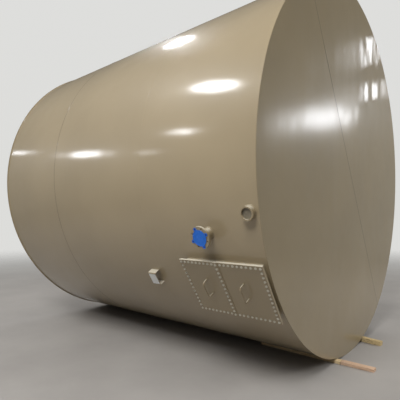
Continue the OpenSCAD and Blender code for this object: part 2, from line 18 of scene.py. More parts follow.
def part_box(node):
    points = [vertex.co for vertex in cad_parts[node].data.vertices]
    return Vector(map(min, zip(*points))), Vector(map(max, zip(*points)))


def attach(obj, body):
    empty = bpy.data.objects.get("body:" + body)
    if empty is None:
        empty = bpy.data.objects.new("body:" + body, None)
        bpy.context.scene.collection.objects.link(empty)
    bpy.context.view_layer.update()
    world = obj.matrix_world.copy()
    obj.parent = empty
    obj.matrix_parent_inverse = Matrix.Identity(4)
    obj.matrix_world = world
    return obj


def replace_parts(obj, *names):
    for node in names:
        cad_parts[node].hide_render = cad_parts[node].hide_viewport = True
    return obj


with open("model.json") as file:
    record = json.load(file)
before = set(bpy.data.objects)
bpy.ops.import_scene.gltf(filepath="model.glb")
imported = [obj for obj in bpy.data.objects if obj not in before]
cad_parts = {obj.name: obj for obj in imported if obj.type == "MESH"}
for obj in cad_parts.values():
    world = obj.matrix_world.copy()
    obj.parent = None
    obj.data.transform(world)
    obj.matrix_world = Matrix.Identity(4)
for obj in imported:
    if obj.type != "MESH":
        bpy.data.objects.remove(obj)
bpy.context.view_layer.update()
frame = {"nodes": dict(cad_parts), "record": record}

# %% [markdown]
# ## Sizes taken from the frame
# The tank is a cylinder, and the box round two matching plates is as high as their circle.
# That gives the axis and the radius. The numbers could be typed instead, but then a change to
# the solids would leave the beads and bolts behind.

# %% Axis and radii
def box_of(*names):
    lows, highs = zip(*(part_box(name) for name in names))
    return Vector(map(min, zip(*lows))), Vector(map(max, zip(*highs)))

rim_low, rim_high = box_of("bottom_upper_plate", "bottom_lower_plate")
shell_low, shell_high = box_of("course_1_front_plate", "course_1_back_plate")
roof_low, roof_high = box_of("roof_upper_plate", "roof_lower_plate")
BOTTOM_X = rim_high.x
AXIS_Y = (rim_low.y + rim_high.y) / 2
AXIS_Z = (rim_low.z + rim_high.z) / 2
RIM_R = (rim_high.z - rim_low.z) / 2
SHELL_R = (shell_high.z - shell_low.z) / 2
print("axis", round(AXIS_Y, 4), round(AXIS_Z, 4), "rim", round(RIM_R, 4), "shell", round(SHELL_R, 4))

# %% [markdown]
# ## Places on the shell and on the roof
# Every fitting stands on a curved or a sloping plate and points straight out of it.
# Each could be turned by hand, but a matrix does it once for all: its Z points out of the plate and
# its X runs along the tank or round the roof, so a mesh drawn at the world's centre is moved there
# whole. A turn is an angle round the axis, in degrees, from +Y.

# %% Local frames
ROOF_T = 0.0048
ROOF_SLOPE = (roof_high.x - roof_low.x - ROOF_T) / RIM_R

def on_shell(x, turn):
    c, s = math.cos(math.radians(turn)), math.sin(math.radians(turn))
    return Matrix(((1, 0, 0, BOTTOM_X + x),
                   (0, s, c, AXIS_Y + SHELL_R * c),
                   (0, -c, s, AXIS_Z + SHELL_R * s),
                   (0, 0, 0, 1)))

def on_roof(out, turn):
    c, s = math.cos(math.radians(turn)), math.sin(math.radians(turn))
    x = roof_high.x - ROOF_T - (RIM_R - out) * ROOF_SLOPE
    return Matrix(((0, 0, -1, x),
                   (-s, c, 0, AXIS_Y + out * c),
                   (c, s, 0, AXIS_Z + out * s),
                   (0, 0, 0, 1)))
print("roof rises 1 in", round(1 / ROOF_SLOPE, 2))

# %% [markdown]
# ## Where a fitting stands
# A round flange or a flat plate is the same on both sides of its middle. So the middle of its box says
# where the fitting stands: how far along the tank, at which turn, and how far out from the axis.

# %% Places of the fittings
def middle_of(name):
    low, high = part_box(name)
    return (low + high) / 2

def turn_of(name):
    y, z = middle_of(name).y - AXIS_Y, middle_of(name).z - AXIS_Z
    return math.degrees(math.atan2(z, y)) % 360

def out_of(name):
    return math.hypot(middle_of(name).y - AXIS_Y, middle_of(name).z - AXIS_Z)

def along_of(name):
    return middle_of(name).x - BOTTOM_X
print("nozzle", round(along_of("nozzle_flange"), 4), "at turn", round(turn_of("nozzle_flange"), 2))

# %% [markdown]
# ## The camera
# A low camera stands near the cleanout and looks along the shell past the flat bottom.
# The picture was squashed sideways by an eighth at some time, as its round fittings show.
# A camera has square pixels, so its place, turn and lens were chosen to come nearest to every
# rim, fitting and timber at once, and a small shift of the frame stands for the picture's crop.
# It could be aimed by a Track To constraint, but three plain angles can be fitted one by one.

# %% Camera
def add_object(name, data):
    obj = bpy.data.objects.new(name, data)
    bpy.context.scene.collection.objects.link(obj)
    return obj

def camera_from(place, yaw, pitch, roll, lens, shift):
    yaw, pitch, roll = (math.radians(a) for a in (yaw, pitch, roll))
    look = Vector((math.sin(yaw) * math.cos(pitch), math.cos(yaw) * math.cos(pitch), math.sin(pitch)))
    right = Vector((math.cos(yaw), -math.sin(yaw), 0))
    up = right.cross(look)
    side = math.cos(roll) * right + math.sin(roll) * up
    top = -math.sin(roll) * right + math.cos(roll) * up
    turn = Matrix((side, top, -look)).transposed()
    data = bpy.data.cameras.new("camera")
    data.sensor_width, data.lens, data.shift_y = 36.0, lens, shift
    data.clip_end = 200.0
    camera = add_object("camera", data)
    camera.matrix_world = Matrix.Translation(place) @ turn.to_4x4()
    bpy.context.scene.camera = camera

eye = Vector((BOTTOM_X + 1.697, AXIS_Y - 5.117, AXIS_Z - 0.573))
camera_from(eye, yaw=-40.236, pitch=-1.617, roll=-0.104, lens=33.72, shift=0.0730)
print("eye", [round(v, 3) for v in eye])

# %% [markdown]
# ## Helpers for materials
# No finish on a real object is one even colour: it has clouds, specks and worn spots.
# They could be painted on an image, but an image has to be unwrapped and blurs from near by.
# Noise in the object's own space stays sharp at any distance and needs no unwrapping.
# Each helper adds one node to a material's tree and gives back the socket that the next one needs.

# %% Start of a material, noise and ramps
SHADER = "Principled BSDF"

def grey(value):
    return (value, value, value)

def shade(colour, by):
    return tuple(min(1.0, c * by) for c in colour)

def set_inputs(node, values):
    for key, value in values.items():
        node.inputs[key].default_value = value

def start_material(name, metallic=0.0, rough=0.4):
    mat = bpy.data.materials.new(name)
    mat.use_nodes = True
    tree = mat.node_tree
    shader = tree.nodes[SHADER]
    set_inputs(shader, {"Metallic": metallic, "Roughness": rough})
    coord = tree.nodes.new("ShaderNodeTexCoord")
    return mat, tree, shader, coord.outputs["Object"]

def add_noise(tree, coord, scale, detail=3.0, stretch=(1, 1, 1), rough=0.5):
    mapping = tree.nodes.new("ShaderNodeMapping")
    mapping.inputs["Scale"].default_value = stretch
    tree.links.new(coord, mapping.inputs["Vector"])
    node = tree.nodes.new("ShaderNodeTexNoise")
    set_inputs(node, {"Scale": scale, "Detail": detail, "Roughness": rough})
    tree.links.new(mapping.outputs["Vector"], node.inputs["Vector"])
    return node.outputs["Fac"]

def add_ramp(tree, fac, stops):
    node = tree.nodes.new("ShaderNodeValToRGB")
    band = node.color_ramp
    while len(band.elements) < len(stops):
        band.elements.new(0.5)
    for element, (place, colour) in zip(band.elements, stops):
        element.position = place
        element.color = (*colour, 1)
    tree.links.new(fac, node.inputs["Fac"])
    return node.outputs["Color"]
print("noise and ramp ready")

# %% Mix, range and bump
def add_mix(tree, fac, a, b, blend="MIX"):
    node = tree.nodes.new("ShaderNodeMix")
    node.data_type, node.blend_type = "RGBA", blend
    for value, key in ((fac, "Factor"), (a, "A"), (b, "B")):
        socket = next(s for s in node.inputs if s.name == key and s.enabled)
        if isinstance(value, (int, float)):
            socket.default_value = value
        elif isinstance(value, tuple):
            socket.default_value = (*value, 1)
        else:
            tree.links.new(value, socket)
    return next(s for s in node.outputs if s.name == "Result" and s.enabled)

def add_range(tree, fac, low, high, start=0.0, end=1.0, smooth=False):
    node = tree.nodes.new("ShaderNodeMapRange")
    if smooth:
        node.interpolation_type = "SMOOTHSTEP"
    set_inputs(node, {"From Min": start, "From Max": end, "To Min": low, "To Max": high})
    tree.links.new(fac, node.inputs["Value"])
    return node.outputs["Result"]

def add_bump(tree, height, distance, strength=1.0, under=None):
    node = tree.nodes.new("ShaderNodeBump")
    set_inputs(node, {"Distance": distance, "Strength": strength})
    tree.links.new(height, node.inputs["Height"])
    if under is not None:
        tree.links.new(under, node.inputs["Normal"])
    return node.outputs["Normal"]

def add_geometry(tree, what):
    return tree.nodes.new("ShaderNodeNewGeometry").outputs[what]

def add_axis(tree, vector, axis):
    node = tree.nodes.new("ShaderNodeSeparateXYZ")
    tree.links.new(vector, node.inputs["Vector"])
    return node.outputs[axis]
print("mix, range and bump ready")

# %% [markdown]
# ## The paint's colour
# The tank has one coat of sprayed khaki paint. Broad clouds lighten and darken it a little, and
# fine specks of dust lie on it in patches. The fittings' upper faces are paler: settled dust and a
# painted highlight of the light from above, in one colour. That could be a mesh of its own, but the
# height of each face's normal already says which faces look up, so a ramp on that height lays it.

# %% Colour of a paint
TOP_DUST_AND_LIGHT = (0.62, 0.578, 0.475)

def paint_colour(tree, coord, base, dust, top_dust_and_light):
    clouds = add_noise(tree, coord, 0.9, 4.0)
    colour = add_ramp(tree, clouds, [(0.3, shade(base, 0.94)), (0.7, shade(base, 1.06))])
    specks = add_ramp(tree, add_noise(tree, coord, 140.0, 2.0), [(0.52, grey(0)), (0.72, grey(1))])
    patches = add_noise(tree, coord, 2.3, 5.0, rough=0.6)
    where = add_ramp(tree, patches, [(0.45, grey(0)), (0.75, grey(dust))])
    amount = add_mix(tree, 1.0, specks, where, "MULTIPLY")
    colour = add_mix(tree, amount, colour, shade(base, 1.3))
    # Faces that look up are mixed towards the pale colour: settled dust and a painted highlight from
    # above.
    if top_dust_and_light:
        upward = add_axis(tree, add_geometry(tree, "Normal"), "Z")
        top_dust_and_light_mask = add_ramp(tree, upward, [(0.45, grey(0)), (0.85, grey(top_dust_and_light))])
        colour = add_mix(tree, top_dust_and_light_mask, colour, TOP_DUST_AND_LIGHT)
    return colour
print("dust", TOP_DUST_AND_LIGHT)

# %% [markdown]
# ## The paint's surface
# Rolled and welded plate is never quite flat, and gloss paint shows it: every reflection bends.
# The plates could be dented for real, but waves of a few millimetres over a metre are too faint to
# need that. Two kinds of bump make them: broad waves of the plate, which the clear coat follows,
# and over them the fine skin of the sprayed paint.

# %% Surface of a paint
COAT_WEIGHT, GLOSS_COAT = 0.85, 0.13

def plate_waves(tree, coord, wave, fine, streak, flat):
    face = add_geometry(tree, "True Normal") if flat else None
    waves = add_bump(tree, add_noise(tree, coord, 1.5, 1.0, streak), wave, 1.0, face)
    if fine:
        waves = add_bump(tree, add_noise(tree, coord, 4.5, 1.0, streak), fine, 1.0, waves)
    return waves

def paint(name, base, rough, wave, dust=0.35, streak=(1, 1, 1), fine=0.0, flat=False, top_dust_and_light=0.0):
    mat, tree, shader, coord = start_material(name)
    tree.links.new(paint_colour(tree, coord, base, dust, top_dust_and_light), shader.inputs["Base Color"])
    mottle = add_noise(tree, coord, 5.0, 4.0)
    tree.links.new(add_range(tree, mottle, rough - 0.05, rough + 0.07), shader.inputs["Roughness"])
    waves = plate_waves(tree, coord, wave, fine, streak, flat)
    skin = add_bump(tree, add_noise(tree, coord, 420.0, 1.0), 0.0003, 0.2, waves)
    tree.links.new(skin, shader.inputs["Normal"])
    tree.links.new(waves, shader.inputs["Coat Normal"])
    set_inputs(shader, {"Coat Weight": COAT_WEIGHT, "Coat Roughness": GLOSS_COAT})
    return mat
print("coat", COAT_WEIGHT, "roughness", GLOSS_COAT)

# %% [markdown]
# ## The six paints
# It is the same paint everywhere. The flat bottom and the fittings have darker copies of it as
# painted shade, and the weld beads a touch lighter one as a painted highlight. A separate small
# material for each is simpler than one with switches.
# The seams that read as dark lines have a darker paint on their beads, as painted shadow.
# A film of dust dulls most of the bottom, but its far side is clear, and lamps stay sharp there.
# The coat's roughness sets how wide a reflection spreads, so it changes across the disc.

# %% Paints
KHAKI = (0.318, 0.253, 0.157)
DULL_COAT, CLEAR_COAT = 0.22, 0.11
CLEAR_FROM, CLEAR_BY = AXIS_Y + 0.1, AXIS_Y + 0.6

shell_paint = paint("shell_paint", KHAKI, 0.45, wave=0.006)
roof_paint = paint("roof_paint", KHAKI, 0.45, wave=0.006, flat=True)
# Darker than the shell's khaki: painted shade on the flat bottom.
bottom_paint = paint("bottom_paint", (0.272, 0.216, 0.127), 0.48, wave=0.014, dust=0.3,
                     streak=(1, 1.3, 0.6), fine=0.0018)
# A touch lighter than the shell's khaki: a painted highlight on the weld beads.
weld_paint = paint("weld_paint", (0.324, 0.258, 0.160), 0.45, wave=0.002, dust=0.1)
# Much darker than the khaki: painted shadow along the seams.
seam_shadow_paint = paint("seam_shadow_paint", (0.185, 0.152, 0.098), 0.50, wave=0.002, dust=0.1)
# Darker and richer than the khaki: painted shade on the fittings. Their upper faces also get dust and a
# painted highlight.
fitting_paint = paint("fitting_paint", (0.292, 0.231, 0.138), 0.45, wave=0.002, dust=0.2, top_dust_and_light=0.7)

tree = bottom_paint.node_tree
across_disc = add_axis(tree, add_geometry(tree, "Position"), "Y")
film = add_range(tree, across_disc, DULL_COAT, CLEAR_COAT, CLEAR_FROM, CLEAR_BY)
tree.links.new(film, tree.nodes[SHADER].inputs["Coat Roughness"])
print("paints", len(bpy.data.materials), "the bottom clears over", round(CLEAR_BY - CLEAR_FROM, 2), "m")

# %% [markdown]
# ## Metal and plastic
# The bolts and rivets are zinc plated, the nameplate is bare brushed aluminium, and the nozzle's cap
# and the coupling's plug are moulded plastic. Each could be a plain shader, but then it looks new and
# false. One noise that moves both the colour and the roughness gives each its own worn look.
# For the aluminium the noise is stretched into brush lines, and the plastic has a moulded grain.

# %% Metal and plastic materials
def mottled(name, dark, light, scale, rough_low, rough_high, metallic=0.0, stretch=(1, 1, 1), edge=0.3):
    mat, tree, shader, coord = start_material(name, metallic)
    tint = add_noise(tree, coord, scale, 3.0, stretch)
    colour = add_ramp(tree, tint, [(edge, dark), (1 - edge, light)])
    tree.links.new(colour, shader.inputs["Base Color"])
    tree.links.new(add_range(tree, tint, rough_low, rough_high), shader.inputs["Roughness"])
    return mat

def plastic(name, base, rough):
    mat = mottled(name, shade(base, 0.93), shade(base, 1.07), 45.0,
                  rough - 0.05, rough + 0.06, edge=0.35)
    tree = mat.node_tree
    coord = tree.nodes["Texture Coordinate"].outputs["Object"]
    grain = add_bump(tree, add_noise(tree, coord, 900.0, 1.0), 0.0002, 0.2)
    tree.links.new(grain, tree.nodes[SHADER].inputs["Normal"])
    return mat

zinc = mottled("zinc", (0.58, 0.55, 0.46), (0.80, 0.77, 0.67), 160.0, 0.26, 0.46, metallic=0.65)
bare_plate = mottled("plate_metal", (0.74, 0.76, 0.76), (0.88, 0.89, 0.88), 60.0, 0.3, 0.5,
                     metallic=0.45, stretch=(1, 30, 30))
cap_plastic = plastic("cap_plastic", (0.012, 0.150, 0.640), 0.36)
# This darker blue is for the pegs deep in the cap's eyelets: painted shade in those recesses.
peg_shade_plastic = plastic("peg_shade_plastic", (0.006, 0.035, 0.240), 0.40)
plug_plastic = plastic("plug_plastic", (0.205, 0.178, 0.128), 0.42)
print("materials", zinc.name, bare_plate.name, cap_plastic.name, plug_plastic.name)

# %% [markdown]
# ## Wood
# The timbers are sawn softwood: fresh in front, pink for the offcut and weathered at the back.
# A photograph of planks would be the usual way, but it would repeat along the board.
# Noise that is stretched along the board gives the grain, finer noise gives the fibres, broad noise
# the grey stains, and noise stretched across it the marks of the saw.

# %% Wood materials
def wood(name, pale, dark, stain):
    mat, tree, shader, coord = start_material(name, rough=0.75)
    grain = add_noise(tree, coord, 9.0, 4.0, (0.5, 14, 9), 0.62)
    colour = add_ramp(tree, grain, [(0.32, dark), (0.46, pale), (0.58, shade(pale, 1.1)), (0.7, dark)])
    fibres = add_noise(tree, coord, 60.0, 3.0, (0.25, 12, 12), 0.7)
    darker = add_ramp(tree, fibres, [(0.3, (0.55, 0.5, 0.45)), (0.65, grey(1))])
    colour = add_mix(tree, 0.55, colour, darker, "MULTIPLY")
    stains = add_noise(tree, coord, 4.0, 5.0, rough=0.65)
    where = add_ramp(tree, stains, [(0.5, grey(0)), (0.78, grey(0.75))])
    tree.links.new(add_mix(tree, where, colour, stain), shader.inputs["Base Color"])
    saw_marks = add_bump(tree, add_noise(tree, coord, 30.0, 2.0, (9, 1, 1)), 0.0008, 0.5)
    tree.links.new(add_bump(tree, fibres, 0.0012, 0.7, saw_marks), shader.inputs["Normal"])
    return mat

fresh_wood = wood("fresh_wood", (0.80, 0.62, 0.36), (0.50, 0.34, 0.17), (0.48, 0.39, 0.26))
pink_wood = wood("pink_wood", (0.70, 0.49, 0.34), (0.46, 0.27, 0.17), (0.44, 0.34, 0.26))
old_wood = wood("old_wood", (0.66, 0.52, 0.28), (0.26, 0.17, 0.08), (0.34, 0.28, 0.17))
print("woods", fresh_wood.name, pink_wood.name, old_wood.name)

# %% [markdown]
# ## Finishes on the exact plates
# The plates, flanges and covers are already the right shape, so they only get their paint.
# It could be given by hand in the material tab, but the frame's record names a slot for each node,
# and a table from slot to finish does all forty at once.
# At the roof's peak many thin triangles meet, and no stored normal suits them all.
# So the roof has a paint of its own, which takes each face's own normal.

# %% Materials on the CAD nodes
FINISH = {"shell_paint": shell_paint, "bottom_paint": bottom_paint, "weld_paint": weld_paint,
          "fitting_paint": fitting_paint, "cap_plastic": cap_plastic, "plate_metal": bare_plate,
          "timber": fresh_wood}
ROOF_PLATES = ("roof_upper_plate", "roof_lower_plate")
SLOT = {part["node"]: part["material_slot"] for part in frame["record"]["subparts"]}

for name, node in frame["nodes"].items():
    node.data.materials.clear()
    node.data.materials.append(roof_paint if name in ROOF_PLATES else FINISH[SLOT[name]])
print("painted", len(frame["nodes"]), "nodes")

# %% [markdown]
# ## A small mesh builder
# Bolts, beads, the plug and the boards are all lofts: rings of points joined by faces.
# They could be modelled with modifiers, but a loft keeps every point where the numbers put it.
# This class collects one piece's points, already in place, and makes one object of them.
# Edges sharper than a given angle stay crisp, and the rest are shaded smooth.

# %% Mesh builder
class Piece:
    def __init__(self):
        self.verts, self.faces = [], []

    def loft(self, rings, place=Matrix(), caps=True, closed=False):
        start, n = len(self.verts), len(rings[0])
        self.verts += [place @ Vector(p) for ring in rings for p in ring]
        steps = len(rings) if closed else len(rings) - 1
        for j in range(steps):
            a, b = start + j * n, start + (j + 1) % len(rings) * n
            self.faces += [(a + k, a + (k + 1) % n, b + (k + 1) % n, b + k) for k in range(n)]
        if caps and not closed:
            last = start + (len(rings) - 1) * n
            self.faces += [tuple(range(start + n - 1, start - 1, -1)), tuple(range(last, last + n))]

    def build(self, name, material, angle=34):
        mesh = bpy.data.meshes.new(name)
        mesh.from_pydata(self.verts, [], self.faces)
        mesh.validate()
        mesh.polygons.foreach_set("use_smooth", [True] * len(mesh.polygons))
        mesh.set_sharp_from_angle(angle=math.radians(angle))
        mesh.materials.append(material)
        obj = add_object(name, mesh)
        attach(obj, "root")
        return obj

def lift(z):
    return Matrix.Translation((0, 0, z))

def circle(r, z, n=24):
    return [(r * math.cos(2 * math.pi * k / n), r * math.sin(2 * math.pi * k / n), z) for k in range(n)]
print("builder ready")

# %% [markdown]
# ## A bolt
# A bolt is a washer, a hexagonal head whose corners are turned off to a cone, and a nut with the
# thread's end behind the plates. A cylinder with six sides would do from far off, but the turned
# corners catch the light and make it read as a bolt.
# The hexagon has 24 points, so that the round face on top joins it point by point.

# %% One bolt
WASHER_R, WASHER_T, WASHER_EDGE = 0.0135, 0.0017, 0.0003
HEX_ACROSS, HEX_SLOPE, HEX_CONE, HEX_TOP = 0.0190, 0.55, 0.0006, 0.93
HEAD_H, NUT_H = 0.0080, 0.0111
THREAD_R, THREAD_STEP, THREAD_END = 0.00635, 0.0009, 0.0194
FLIP = Matrix.Rotation(math.pi, 4, "X")

def hexagon(across, z, slope=0.0, n=24):
    points, step = [], 2 * math.pi / 6
    for k in range(n):
        angle = 2 * math.pi * k / n
        reach = across / 2 / math.cos(angle % step - step / 2)
        drop = slope * (reach - across / 2)
        points.append((reach * math.cos(angle), reach * math.sin(angle), z - drop))
    return points

def add_hex_on_washer(piece, place, height):
    top = WASHER_T + height
    piece.loft([circle(WASHER_R, 0), circle(WASHER_R, WASHER_T - WASHER_EDGE),
                circle(WASHER_R - WASHER_EDGE, WASHER_T)], place)
    piece.loft([hexagon(HEX_ACROSS, WASHER_T), hexagon(HEX_ACROSS, top - HEX_CONE, HEX_SLOPE),
                circle(HEX_ACROSS / 2 * HEX_TOP, top)], place)
    return top

def add_bolt(piece, place, grip, turn):
    spin = place @ Matrix.Rotation(turn, 4, "Z")
    add_hex_on_washer(piece, spin, HEAD_H)
    behind = spin @ lift(-grip) @ FLIP
    nut_top = add_hex_on_washer(piece, behind, NUT_H)
    ridges = [circle(THREAD_R * (1.0 if j % 2 else 0.9), nut_top + THREAD_STEP * j, 12)
              for j in range(7)]
    piece.loft(ridges + [circle(THREAD_R * 0.7, THREAD_END, 12)], behind)
print("bolt head", HEX_ACROSS, "across")

# %% [markdown]
# ## The cleanout's bolts
# Twenty bolts run along the top and along the bottom of the flange, and twelve more down each end
# and down the middle bar. At the middle column the left cover laps over the right one,
# so the heads there stand one plate higher.
# An Array modifier could repeat one bolt, but a loop can lift the middle ones and turn each at random,
# as a wrench leaves them. The random turns have a fixed seed, so every run gives the same.

# %% Cleanout bolts
BOLTS_LONG, BOLTS_HIGH, BOLTS_LEFT = 20, 14, 10
FLANGE_T, COVER_T, FLANGE_FACE = 0.0127, 0.0064, 0.057
CLEANOUT_X0, CLEANOUT_X1 = (corner.x - BOTTOM_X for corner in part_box("cleanout_flange"))
PITCH = (CLEANOUT_X1 - CLEANOUT_X0) / BOLTS_LONG
BOLT_EDGE = PITCH / 2
ROW_Y = (BOLTS_HIGH - 1) * PITCH / 2
cleanout = on_shell(0, turn_of("cleanout_flange"))
chance = random.Random(4)

def cleanout_bolt(piece, i, y):
    covers = COVER_T * (2 if i == BOLTS_LEFT - 1 else 1)
    spot = Matrix.Translation((CLEANOUT_X0 + BOLT_EDGE + i * PITCH, y, FLANGE_FACE + covers))
    add_bolt(piece, cleanout @ spot, covers + FLANGE_T, chance.uniform(0, math.pi))

bolts = Piece()
for i in range(BOLTS_LONG):
    for y in (-ROW_Y, ROW_Y):
        cleanout_bolt(bolts, i, y)
for i in (0, BOLTS_LEFT - 1, BOLTS_LONG - 1):
    for j in range(1, BOLTS_HIGH - 1):
        cleanout_bolt(bolts, i, -ROW_Y + j * PITCH)
bolts.build("cleanout_bolts", zinc)
print("cleanout bolts", 2 * BOLTS_LONG + 3 * (BOLTS_HIGH - 2), "faces", len(bolts.faces))

# %% [markdown]
# ## The hatch's bolts
# The hatch on the roof is a short neck with a bolted cover. Its bolts stand evenly on a circle, half a
# step off the axes. An Array turned round an empty would space them too, but a loop with the same
# bolt is shorter.

# %% Hatch bolts
HATCH_RISE, HATCH_BOLTS, HATCH_PCD = 0.060, 16, 0.2985
HATCH_FLANGE_T, HATCH_COVER_T, HATCH_NECK_R = 0.0095, 0.0064, 0.10955
HATCH_GRIP = HATCH_FLANGE_T + HATCH_COVER_T
hatch = on_roof(out_of("roof_hatch_flange"), turn_of("roof_hatch_flange"))
hatch_bolts = Piece()
for i in range(HATCH_BOLTS):
    angle = (i + 0.5) * 2 * math.pi / HATCH_BOLTS
    x, y = HATCH_PCD / 2 * math.cos(angle), HATCH_PCD / 2 * math.sin(angle)
    spot = Matrix.Translation((x, y, HATCH_RISE + HATCH_GRIP))
    add_bolt(hatch_bolts, hatch @ spot, HATCH_GRIP, chance.uniform(0, math.pi))
hatch_bolts.build("hatch_bolts", zinc)
print("hatch bolts", HATCH_BOLTS)

# %% [markdown]
# ## Weld beads
# A weld is laid in small overlapping ripples, and under paint they show as a fine ribbed line.
# A bump map could fake them, but the edge of the bead would stay smooth where it stands out.
# A bead here follows a path, which gives a point and two directions, up and out, along the surfaces
# that it joins. A section of a few points is set at each step, and every second one is a little
# smaller. Its middle lags behind its edges, which gives each ripple its crescent.

# %% Bead helper
FILLET = [(0, 0), (1.0, 0.0), (0.80, 0.45), (0.45, 0.80), (0.0, 1.0)]
CAP = [(0, -1.0), (0.72, -0.62), (0.97, 0.0), (0.72, 0.62), (0, 1.0)]

def add_bead(piece, path, length, up_size, out_size, section=FILLET, pitch=0.006, closed=False, seed=0):
    n = max(6, 2 * round(length / pitch))
    rings = []
    for i in range(n if closed else n + 1):
        point, up, out = path(i / n)
        ahead = path(min(1, (i + 0.3) / n))[0] - path(max(0, (i - 0.3) / n))[0]
        swell = (1.0 if i % 2 else 0.86) * (1 - 0.06 * abs(noise.noise(Vector((i * 0.31, seed, 0)))))
        ring = []
        for u, v in section:
            lag = ahead * (-0.8 if u and abs(v) < 0.9 else 0.0)
            side = out * (v * out_size * (0.94 + 0.06 * swell))
            ring.append(point + up * (u * up_size * swell) + side + lag)
        rings.append(ring)
    piece.loft(rings, caps=not closed, closed=closed)

def add_butt_bead(piece, path, length, seed, closed=False):
    add_bead(piece, path, length, CAP_H, CAP_W / 2, CAP, closed=closed, seed=seed)

def round_path(x, up_x):
    def at(t):
        a = 2 * math.pi * t
        radial = Vector((0, math.cos(a), math.sin(a)))
        return Vector((x, AXIS_Y, AXIS_Z)) + radial * SHELL_R, radial, Vector((up_x, 0, 0))
    return at

def line_path(start, end, up, out):
    return lambda t: (start.lerp(end, t), up, out)
print("bead sections of", len(FILLET), "points")

# %% [markdown]
# ## Round welds
# Two butt welds join the three courses, and a fillet weld runs behind each rim.
# The solids have plain bands there. The beads take their place and stay within them.
# The far one of the two butt welds reads as a dark line, so its bead has the darker paint:
# painted shadow along the seam.

# %% Round and rim welds
CAP_W, CAP_H, LEG = 0.012, 0.0018, 0.006
GIRTH = 2 * math.pi * SHELL_R

for name, bead_paint in (("girth_weld_1", weld_paint), ("girth_weld_2", seam_shadow_paint)):
    low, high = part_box(name)
    bead = Piece()
    add_butt_bead(bead, round_path((low.x + high.x) / 2, 1), GIRTH, low.x, closed=True)
    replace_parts(bead.build(name + "_bead", bead_paint, 60), name)

rim_bead = Piece()
add_bead(rim_bead, round_path(rim_low.x, -1), GIRTH, LEG, LEG, closed=True, seed=3)
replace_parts(rim_bead.build("bottom_rim_bead", weld_paint, 60), "bottom_rim_weld")

roof_bead = Piece()
shell_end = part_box("roof_rim_weld")[1].x - LEG
add_bead(roof_bead, round_path(shell_end, 1), GIRTH, LEG, LEG, closed=True, seed=5)
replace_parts(roof_bead.build("roof_rim_bead", weld_paint, 60), "roof_rim_weld")
print("round welds of", round(GIRTH, 2), "m each")

# %% [markdown]
# ## Long seams
# Each course is rolled from two plates, so two seams run along it, opposite each other.
# They are set apart from one course to the next, because seams that meet make a weak spot.
# The same bead follows a straight path, and its ends run under the round welds.

# %% Long seams
girth_1_x, girth_2_x = middle_of("girth_weld_1").x, middle_of("girth_weld_2").x
COURSE_ENDS = (rim_low.x, girth_1_x, girth_2_x, shell_end)
COURSE_SEAM_TURNS = (72, 97, 80)
long_bead = Piece()
for x0, x1, turn in zip(COURSE_ENDS, COURSE_ENDS[1:], COURSE_SEAM_TURNS):
    for side in (0, 180):
        here = on_shell(0, turn + side)
        up, out = (here.to_3x3() @ Vector(v) for v in ((0, 0, 1), (0, 1, 0)))
        a, b = here.to_translation(), here.to_translation()
        a.x, b.x = x0 - CAP_W, x1 + CAP_W
        add_butt_bead(long_bead, line_path(a, b, up, out), (a - b).length, turn + side)
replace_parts(long_bead.build("long_seam_beads", weld_paint, 60), "long_seam_welds")
print("long seams", 2 * len(COURSE_SEAM_TURNS))

# %% [markdown]
# ## Seams across the bottom and the roof
# The bottom and the roof are too wide for one plate, so a straight weld runs across each.
# The bottom is flat and one line crosses it. The roof is a low cone, so its seam is two lines that
# climb to the peak, and each has its own way out of the slope.

# %% Seams across the bottom and the roof
BOTTOM_SEAM_TURN, ROOF_SEAM_TURN, PEAK_GAP = 124, 60, 0.008

def spoke(turn):
    return Vector((0, math.cos(math.radians(turn)), math.sin(math.radians(turn))))

seam = Piece()
centre = Vector((BOTTOM_X, AXIS_Y, AXIS_Z))
reach = spoke(BOTTOM_SEAM_TURN) * (RIM_R - CAP_W)
across = spoke(BOTTOM_SEAM_TURN + 90)
add_butt_bead(seam, line_path(centre - reach, centre + reach, Vector((1, 0, 0)), across), 2 * RIM_R, 7)
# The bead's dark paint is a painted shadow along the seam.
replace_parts(seam.build("bottom_seam_bead", seam_shadow_paint, 60), "bottom_seam_weld")

roof_seam = Piece()
for turn in (ROOF_SEAM_TURN, ROOF_SEAM_TURN + 180):
    start, end = (on_roof(r, turn).to_translation() for r in (PEAK_GAP, RIM_R - CAP_W))
    across = spoke(turn + 90)
    up = (end - start).normalized().cross(across)
    up = up if up.x < 0 else -up
    add_butt_bead(roof_seam, line_path(start, end, up, across), (end - start).length, turn)
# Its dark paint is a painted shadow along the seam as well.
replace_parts(roof_seam.build("roof_seam_bead", seam_shadow_paint, 60), "roof_seam_weld")
print("seam across the bottom", round(2 * reach.length, 2), "m long")

# %% [markdown]
# ## Welds at the feet of the pipes
# Where a pipe stands on the shell, the fillet follows the saddle line of the two cylinders.
# A boolean could cut that line, but it is simple to work out: the pipe's circle is dropped along
# the pipe's own axis to the plate. One path does for every plate, as only the height below each
# point differs: a saddle on the shell, a slope on the roof, level on a flange.

# %% Path round a foot
def saddle(y):
    return math.sqrt(SHELL_R ** 2 - y * y) - SHELL_R

def slope(y):
    return -y * ROOF_SLOPE

def level(z):
    return lambda y: z

def foot_path(place, r, height, up=1):
    turn = place.to_3x3()
    def at(t):
        a = 2 * math.pi * t
        x, y = r * math.cos(a), r * math.sin(a)
        radial = turn @ Vector((math.cos(a), math.sin(a), 0))
        return place @ Vector((x, y, height(y))), turn @ Vector((0, 0, up)), radial
    return at
print("shell falls", round(-saddle(0.1), 4), "m at 0.1 m to the side")

